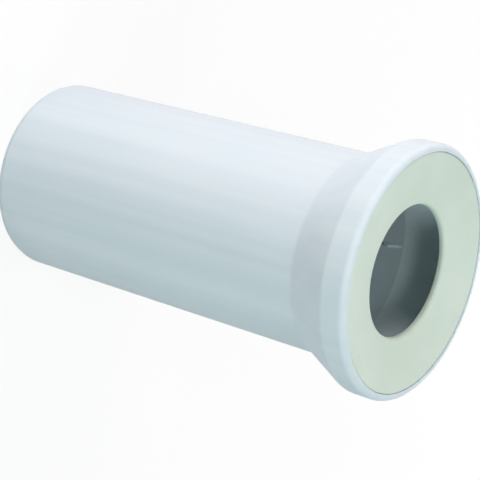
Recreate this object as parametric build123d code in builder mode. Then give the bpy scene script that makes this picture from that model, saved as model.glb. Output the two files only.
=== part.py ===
"""Straight toilet pan connector: a soil-pipe spigot with a flared socket and a rubber lip seal.

The axis is +Z. The spigot end stands on z = 0, centred on the origin, and the socket opens upwards.
"""

import os
from math import atan2, cos, tan

from build123d import *

# Pipe, in millimetres
overall_length = 250.0
pipe_outer_d = 110.0
pipe_wall = 3.0
spigot_lead_length = 3.0
spigot_lead_depth = 1.0
bore_edge_break = 0.5

# Flared socket and its rim
rim_outer_d = 136.5
rim_wall = 4.0
rim_band_length = 14.0
rim_front_radius = 3.4
rim_mouth_radius = 0.4
rim_front_land = 0.1
flare_length = 27.0
flare_root_radius = 5.0
flare_shoulder_radius = 5.0
bore_mouth_radius = 0.8

# Seat for the seal, which reaches a little below the rim band, with a groove halfway along it
seat_below_band = 3.0
groove_width = 4.0
groove_depth = 1.2

# Stop ribs just inside the bore: thin fins, and the end of the pan's outlet meets their sloping ends
rib_count = 4
rib_set_back = 1.0
rib_length = 13.0
rib_width = 1.6
rib_height = 8.0
rib_end_drop = 4.0
rib_tip_length = 1.5
rib_edge_radius = 0.4

# Rubber lip seal
lip_opening_d = 71.0
lip_set_back = 5.7
lip_thickness = 3.2
lip_front_radius = 2.0
lip_back_radius = 0.4
seal_recess = 0.5
seal_edge_radius = 0.6
seal_wall = 2.4
seal_foot_length = 4.5
seal_root_radius = 2.0
seal_clearance = 0.15
bead_side_clearance = 0.3

# Radii and heights of the moulding that follow from the sizes above
pipe_r = pipe_outer_d / 2
bore_r = pipe_r - pipe_wall
rim_r = rim_outer_d / 2
seat_r = rim_r - rim_wall
band_z = overall_length - rim_band_length
flare_z = band_z - flare_length
flare_angle = atan2(rim_r - pipe_r, flare_length)
bore_top_z = flare_z + pipe_wall * tan(flare_angle / 2)
seat_z = band_z - seat_below_band
groove_r = seat_r + groove_depth
groove_mid_z = (seat_z + overall_length) / 2
groove_top_z = groove_mid_z + groove_width / 2
groove_bottom_z = groove_mid_z - groove_width / 2
rim_front_round = min(rim_front_radius, rim_wall - rim_mouth_radius - rim_front_land)
rib_tip_r = bore_r - rib_height
rib_root_r = bore_r + pipe_wall / 2
rib_start_z = bore_top_z - rib_set_back
rib_foot_z = rib_start_z - rib_length
rib_tip_z = rib_start_z - rib_end_drop
rib_end_angle = atan2(rib_end_drop, rib_height)
slope_match = 0.001  # how nearly a face lies at the ribs' end slope, to be picked as one


def socket_radius(height, inset=0):
    """Radius of the flare's inner cone at a height, moved inwards by a distance square to the wall."""
    return bore_r + (height - bore_top_z) * tan(flare_angle) - inset / cos(flare_angle)


def socket_height(radius, inset=0):
    """Height at which that same cone has the given radius."""
    return bore_top_z + (radius + inset / cos(flare_angle) - bore_r) / tan(flare_angle)


def corner(section, radius, height):
    """The corner of a half section nearest to a radius and a height."""
    return section.vertices().sort_by_distance((radius, height))[0]


# White moulding: pipe, flared socket, rim and stop ribs
with BuildPart() as pipe_body:
    with BuildSketch(Plane.XZ) as wall_section:
        with BuildLine():
            Polyline(
                (bore_r, 0),
                (pipe_r - spigot_lead_depth, 0),
                (pipe_r, spigot_lead_length),
                (pipe_r, flare_z),
                (rim_r, band_z),
                (rim_r, overall_length),
                (seat_r, overall_length),
                (seat_r, groove_top_z),
                (groove_r, groove_top_z),
                (groove_r, groove_bottom_z),
                (seat_r, groove_bottom_z),
                (seat_r, seat_z),
                (socket_radius(seat_z), seat_z),
                (bore_r, bore_top_z),
                close=True,
            )
        make_face()
        fillet(corner(wall_section, pipe_r, flare_z), flare_root_radius)
        fillet(corner(wall_section, rim_r, band_z), flare_shoulder_radius)
        fillet(corner(wall_section, rim_r, overall_length), rim_front_round)
        fillet(corner(wall_section, seat_r, overall_length), rim_mouth_radius)
        fillet(corner(wall_section, bore_r, bore_top_z), bore_mouth_radius)
        chamfer(corner(wall_section, bore_r, 0), bore_edge_break)
    revolve(axis=Axis.Z)

    rib_planes = [Plane.XZ.rotated((0, 0, 360 * turn / rib_count)) for turn in range(rib_count)]
    with BuildSketch(*rib_planes):
        with BuildLine():
            Polyline(
                (rib_root_r, rib_foot_z),
                (bore_r, rib_foot_z),
                (rib_tip_r, rib_tip_z - rib_tip_length),
                (rib_tip_r, rib_tip_z),
                (rib_root_r, rib_tip_z + (rib_root_r - rib_tip_r) * tan(rib_end_angle)),
                close=True,
            )
        make_face()
    extrude(amount=rib_width / 2, both=True)
    rib_ends = pipe_body.faces().filter_by(GeomType.PLANE).filter_by(
        lambda face: abs(face.normal_at().Z - cos(rib_end_angle)) < slope_match
    )
    rib_end_edges = [edge for face in rib_ends for edge in face.edges().sort_by(SortBy.LENGTH)[-2:]]
    fillet(rib_end_edges, rib_edge_radius)

# Rubber seal: collar on the seat, bead in the groove, foot along the flare, dished membrane with its hole
seal_r = seat_r - seal_clearance
collar_r = seal_r - seal_wall
bead_r = groove_r - seal_clearance
bead_top_z = groove_top_z - bead_side_clearance
bead_bottom_z = groove_bottom_z + bead_side_clearance
foot_z = seat_z - seal_foot_length
foot_inset = seal_clearance + seal_wall
lip_r = lip_opening_d / 2
face_z = overall_length - seal_recess
lip_front_z = overall_length - lip_set_back
lip_back_z = lip_front_z - lip_thickness
membrane_slope = (face_z - lip_front_z) / (seal_r - lip_r)
membrane_root_z = lip_back_z + (collar_r - lip_r) * membrane_slope

with BuildPart() as lip_seal:
    with BuildSketch(Plane.XZ) as seal_section:
        with BuildLine():
            Polyline(
                (lip_r, lip_front_z),
                (seal_r, face_z),
                (seal_r, bead_top_z),
                (bead_r, bead_top_z),
                (bead_r, bead_bottom_z),
                (seal_r, bead_bottom_z),
                (seal_r, seat_z),
                (socket_radius(seat_z, seal_clearance), seat_z),
                (socket_radius(foot_z, seal_clearance), foot_z),
                (socket_radius(foot_z, foot_inset), foot_z),
                (collar_r, socket_height(collar_r, foot_inset)),
                (collar_r, membrane_root_z),
                (lip_r, lip_back_z),
                close=True,
            )
        make_face()
        fillet(corner(seal_section, lip_r, lip_front_z), lip_front_radius)
        fillet(corner(seal_section, lip_r, lip_back_z), lip_back_radius)
        fillet(corner(seal_section, seal_r, face_z), seal_edge_radius)
        fillet(corner(seal_section, collar_r, membrane_root_z), seal_root_radius)
    revolve(axis=Axis.Z)

pipe_body.part.label = "pipe_body"
lip_seal.part.label = "lip_seal"

os.makedirs("parts", exist_ok=True)
export_step(pipe_body.part, "parts/pipe_body.step")
export_step(lip_seal.part, "parts/lip_seal.step")
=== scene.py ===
import math

import bpy
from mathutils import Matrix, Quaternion, Vector


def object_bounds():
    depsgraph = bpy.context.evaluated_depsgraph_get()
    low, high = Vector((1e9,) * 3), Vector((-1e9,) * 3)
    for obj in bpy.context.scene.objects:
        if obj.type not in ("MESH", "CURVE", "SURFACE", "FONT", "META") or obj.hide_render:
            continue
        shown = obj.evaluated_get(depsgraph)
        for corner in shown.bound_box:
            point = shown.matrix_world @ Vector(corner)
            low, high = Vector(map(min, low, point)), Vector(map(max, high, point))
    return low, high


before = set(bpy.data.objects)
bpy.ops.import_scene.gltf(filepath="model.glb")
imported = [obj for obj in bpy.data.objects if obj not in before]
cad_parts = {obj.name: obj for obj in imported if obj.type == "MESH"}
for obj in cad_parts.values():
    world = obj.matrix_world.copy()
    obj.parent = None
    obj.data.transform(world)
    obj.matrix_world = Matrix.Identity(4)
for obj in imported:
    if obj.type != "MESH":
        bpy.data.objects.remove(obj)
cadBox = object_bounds()
print("frame loaded:", ", ".join(sorted(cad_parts)))

bpy.context.scene.view_settings.view_transform = "Standard"
bpy.ops.object.select_all(action="DESELECT")


# unit step from the part towards a camera or lamp: azimuth 0 stands on the -Y side, lift is the height angle
def outward(azimuth, lift):
    turn = math.radians(azimuth)
    rise = math.radians(lift)
    level = Vector((math.sin(turn), -math.cos(turn), 0))
    return level * math.cos(rise) + Vector((0, 0, math.sin(rise)))


# the photograph's view: the part stands on its spigot, and the camera is rolled over to show it lying
shot = {
    "aim": (0.0081, -0.0021, 0.1375),  # metres, a point on the line of sight
    "distance": 0.8589,
    "azimuth": -14.36,  # degrees, as are the lift and the roll
    "lift": 34.66,
    "roll": 106.16,
    "lens": 116.26,  # millimetres, as is the sensor
    "sensor": 36.0,
}


def placeCamera():
    back = outward(shot["azimuth"], shot["lift"])
    bpy.ops.object.camera_add(location=Vector(shot["aim"]) + back * shot["distance"])
    camera = bpy.context.object
    camera.name = "photoCamera"
    camera.data.lens = shot["lens"]
    camera.data.sensor_width = shot["sensor"]
    camera.rotation_mode = "QUATERNION"
    upright = (-back).to_track_quat("-Z", "Y")
    camera.rotation_quaternion = upright @ Quaternion((0, 0, 1), math.radians(shot["roll"]))
    bpy.context.scene.camera = camera


placeCamera()
print("camera placed")


# small helpers for the node trees
def addNode(tree, kind, **settings):
    made = tree.nodes.new(kind)
    for name, value in settings.items():
        setattr(made, name, value)
    return made


def feed(tree, node, **inputs):
    for name, value in inputs.items():
        socket = node.inputs[name.replace("_", " ")]
        if isinstance(value, bpy.types.NodeSocket):
            tree.links.new(value, socket)
        else:
            socket.default_value = value


def newMaterial(name):
    made = bpy.data.materials.new(name)
    made.use_nodes = True
    return made, made.node_tree, made.node_tree.nodes["Principled BSDF"]


def ownPlace(tree):
    return addNode(tree, "ShaderNodeTexCoord").outputs["Object"]


def scaled(tree, place, scale):
    mapping = addNode(tree, "ShaderNodeMapping")
    feed(tree, mapping, Vector=place, Scale=scale)
    return mapping.outputs["Vector"]


def noiseOn(tree, place, scale, detail):
    noise = addNode(tree, "ShaderNodeTexNoise")
    feed(tree, noise, Vector=place, Scale=scale, Detail=detail)
    return noise.outputs["Fac"]


noiseReach = (0.3, 0.7)  # nearly all of a noise lies between these


def spread(tree, noise, low, high):
    ranged = addNode(tree, "ShaderNodeMapRange")
    feed(tree, ranged, Value=noise, From_Min=noiseReach[0], From_Max=noiseReach[1])
    feed(tree, ranged, To_Min=low, To_Max=high)
    return ranged.outputs["Result"]


def blendColours(tree, factor, first, second):
    mix = addNode(tree, "ShaderNodeMix", data_type="RGBA")  # its colour sockets are 6 and 7 in, 2 out
    tree.links.new(factor, mix.inputs[0])
    mix.inputs[6].default_value = (*first, 1)
    mix.inputs[7].default_value = (*second, 1)
    return mix.outputs[2]


def addUp(tree, first, second, share):  # first + share * second
    total = addNode(tree, "ShaderNodeMath", operation="MULTIPLY_ADD")
    tree.links.new(second, total.inputs[0])
    total.inputs[1].default_value = share
    tree.links.new(first, total.inputs[2])
    return total.outputs[0]


def bumpFrom(tree, height, strength, depth):
    bump = addNode(tree, "ShaderNodeBump")
    feed(tree, bump, Height=height, Strength=strength, Distance=depth)
    return bump.outputs["Normal"]


# moulded white plastic: soft sheen, faint streaks along the pipe in its gloss and bump that are also painted
# into its colour as light and dark reflection bands, a slight orange peel
plasticLook = {
    "pale": (0.745, 0.830, 0.873),
    "cool": (0.665, 0.772, 0.825),
    "streakScale": 130,  # cycles in a metre, round the pipe
    "streakStretch": (1, 1, 0.02),  # draws the streaks out along it
    "streakDetail": 3,
    "cloudScale": 16,
    "cloudDetail": 2,
    "cloudShare": 0.3,  # of the colour, and the streaks, as painted reflection bands, have the rest
    "peelScale": 420,
    "peelDetail": 2,
    "peelDepth": 0.00006,  # metres
    "streakHeight": 0.6,  # share of the peel's height
    "bumpStrength": 0.5,
    "roughness": (0.58, 0.68),
    "ior": 1.36,
}


def makePlastic():
    made, tree, shader = newMaterial("whitePlastic")
    place = ownPlace(tree)
    drawnOut = scaled(tree, place, plasticLook["streakStretch"])
    streaksAndPaintedBands = noiseOn(tree, drawnOut, plasticLook["streakScale"], plasticLook["streakDetail"])
    clouds = noiseOn(tree, place, plasticLook["cloudScale"], plasticLook["cloudDetail"])
    peel = noiseOn(tree, place, plasticLook["peelScale"], plasticLook["peelDetail"])
    share = plasticLook["cloudShare"]
    # painted reflection: the streaks lay light and dark bands along the pipe into the colour, while the
    # clouds are a random tone
    mottle = addUp(tree, spread(tree, streaksAndPaintedBands, 0, 1 - share), spread(tree, clouds, 0, 1), share)
    shade = blendColours(tree, mottle, plasticLook["cool"], plasticLook["pale"])
    gloss = spread(tree, streaksAndPaintedBands, *plasticLook["roughness"])
    height = addUp(tree, peel, streaksAndPaintedBands, plasticLook["streakHeight"])
    skin = bumpFrom(tree, height, plasticLook["bumpStrength"], plasticLook["peelDepth"])
    feed(tree, shader, Base_Color=shade, Roughness=gloss, Normal=skin, IOR=plasticLook["ior"])
    return made


# greenish cream rubber: matt, a little mottled, with a fine grain and faint rings from its mould
rubberLook = {
    "pale": (0.70, 0.80, 0.71),
    "deep": (0.65, 0.76, 0.66),
    "mottleScale": 38,
    "mottleDetail": 4,
    "grainScale": 900,
    "grainDetail": 2,
    "grainDepth": 0.00008,  # metres
    "ringScale": 260,
    "ringWaver": 0.4,
    "ringHeight": 0.25,  # share of the grain's height
    "bumpStrength": 0.6,
    "roughness": (0.62, 0.74),
    "ior": 1.5,
}


def makeRubber():
    made, tree, shader = newMaterial("sealRubber")
    place = ownPlace(tree)
    mottle = noiseOn(tree, place, rubberLook["mottleScale"], rubberLook["mottleDetail"])
    grain = noiseOn(tree, place, rubberLook["grainScale"], rubberLook["grainDetail"])
    rings = addNode(tree, "ShaderNodeTexWave", wave_type="RINGS", rings_direction="Z")
    feed(tree, rings, Vector=place, Scale=rubberLook["ringScale"], Distortion=rubberLook["ringWaver"])
    shade = blendColours(tree, spread(tree, mottle, 0, 1), rubberLook["deep"], rubberLook["pale"])
    gloss = spread(tree, grain, *rubberLook["roughness"])
    height = addUp(tree, grain, rings.outputs["Fac"], rubberLook["ringHeight"])
    skin = bumpFrom(tree, height, rubberLook["bumpStrength"], rubberLook["grainDepth"])
    feed(tree, shader, Base_Color=shade, Roughness=gloss, Normal=skin, IOR=rubberLook["ior"])
    return made


def dress(node, material):
    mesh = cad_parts[node].data
    mesh.materials.clear()
    mesh.materials.append(material)


dress("pipe_body", makePlastic())
dress("lip_seal", makeRubber())
print("plastic and rubber on")

# soft panels round the part, all turned to its middle: sizes and distance in metres, power in watts
lampSizes = {"strip": (0.5, 0.22), "panel": (0.4, 0.3), "square": (0.4, 0.4), "broad": (0.6, 0.6)}
lampDistance = 1.1
lamps = [
    {"name": "keyStrip", "azimuth": -85, "lift": 2, "size": "strip",
     "power": 3.9, "colour": (1, 0.87, 0.88)},
    {"name": "keyPanel", "azimuth": -85, "lift": 25, "size": "panel",
     "power": 4.4, "colour": (1, 0.91, 0.92)},
    {"name": "frontStrip", "azimuth": -25, "lift": 2, "size": "strip",
     "power": 3.1, "colour": (0.94, 1, 0.99)},
    {"name": "fillPanel", "azimuth": 60, "lift": 30, "size": "panel",
     "power": 4.0, "colour": (0.86, 1, 0.99)},
    {"name": "highPanel", "azimuth": -10, "lift": 62, "size": "square",
     "power": 2.2, "colour": (0.95, 1, 0.96)},
    {"name": "topPanel", "azimuth": 0, "lift": 89, "size": "broad",
     "power": 2.9, "colour": (0.97, 0.97, 1)},
    {"name": "backPanel", "azimuth": 175, "lift": 45, "size": "broad",
     "power": 1.5, "colour": (1, 1, 1)},
    {"name": "backStrip", "azimuth": 172, "lift": 4, "size": "strip",
     "power": 5.6, "colour": (1, 1, 1)},
]


def addLamp(lamp):
    middle = (cadBox[0] + cadBox[1]) / 2
    away = outward(lamp["azimuth"], lamp["lift"])
    bpy.ops.object.light_add(type="AREA", location=middle + away * lampDistance)
    made = bpy.context.object
    made.name = lamp["name"]
    made.data.shape = "RECTANGLE"
    made.data.size, made.data.size_y = lampSizes[lamp["size"]]
    made.data.energy = lamp["power"]
    made.data.color = lamp["colour"]
    made.rotation_mode = "QUATERNION"
    made.rotation_quaternion = (-away).to_track_quat("-Z", "Y")


for lamp in lamps:
    addLamp(lamp)

# white room: what the camera and the gloss see is white, and what lights the part is softer
room = {
    "white": (1, 1, 1, 1),
    "light": 0.04,  # what the room gives the part
    "floorSize": 30,  # metres
    "floorTone": 0.55,  # what the floor gives back to the part
    "seenTone": 0.95,  # what the camera sees of it
    "floorRoughness": 0.9,
    "shadowShare": 0.16,  # how much of the floor's real light and shade the white keeps beside the part
    "shadowReach": 0.8,  # metres from the part to where the floor is plain white
}


def seenDirectly(tree):
    path = addNode(tree, "ShaderNodeLightPath")
    seen = path.outputs["Is Camera Ray"]
    for ray in ("Is Glossy Ray", "Is Transmission Ray"):
        either = addNode(tree, "ShaderNodeMath", operation="MAXIMUM")
        tree.links.new(seen, either.inputs[0])
        tree.links.new(path.outputs[ray], either.inputs[1])
        seen = either.outputs[0]
    return seen


def mixShaders(tree, factor, first, second, output):
    mix = addNode(tree, "ShaderNodeMixShader")
    tree.links.new(factor, mix.inputs[0])
    tree.links.new(first.outputs[0], mix.inputs[1])
    tree.links.new(second.outputs[0], mix.inputs[2])
    tree.links.new(mix.outputs[0], tree.nodes[output].inputs["Surface"])


def makeRoom():
    world = bpy.data.worlds.new("whiteRoom")
    bpy.context.scene.world = world
    world.use_nodes = True
    tree = world.node_tree
    glow = tree.nodes["Background"]
    feed(tree, glow, Color=room["white"], Strength=room["light"])
    backdrop = addNode(tree, "ShaderNodeBackground")
    feed(tree, backdrop, Color=room["white"], Strength=1)
    mixShaders(tree, seenDirectly(tree), glow, backdrop, "World Output")


# share of plain white in the floor: all of it far off, a little less beside the part
def plainShare(tree):
    near = addNode(tree, "ShaderNodeTexGradient", gradient_type="SPHERICAL")
    feed(tree, near, Vector=scaled(tree, ownPlace(tree), [1 / room["shadowReach"]] * 3))
    plain = addNode(tree, "ShaderNodeMapRange")
    feed(tree, plain, Value=near.outputs["Fac"], To_Min=1, To_Max=1 - room["shadowShare"])
    return plain.outputs["Result"]


def makeFloor():
    bpy.ops.mesh.primitive_plane_add(size=room["floorSize"], location=(0, 0, 0))
    floor = bpy.context.object
    floor.name = "floor"
    made, tree, shader = newMaterial("floorWhite")
    seen = seenDirectly(tree)
    tone = blendColours(tree, seen, [room["floorTone"]] * 3, [room["seenTone"]] * 3)
    feed(tree, shader, Base_Color=tone, Roughness=room["floorRoughness"], Specular_IOR_Level=0)
    white = addNode(tree, "ShaderNodeEmission")
    feed(tree, white, Color=room["white"], Strength=1)
    share = addNode(tree, "ShaderNodeMath", operation="MULTIPLY")
    tree.links.new(seen, share.inputs[0])
    tree.links.new(plainShare(tree), share.inputs[1])
    mixShaders(tree, share.outputs[0], shader, white, "Material Output")
    floor.data.materials.append(made)


makeRoom()
makeFloor()
print("lamps and room set")
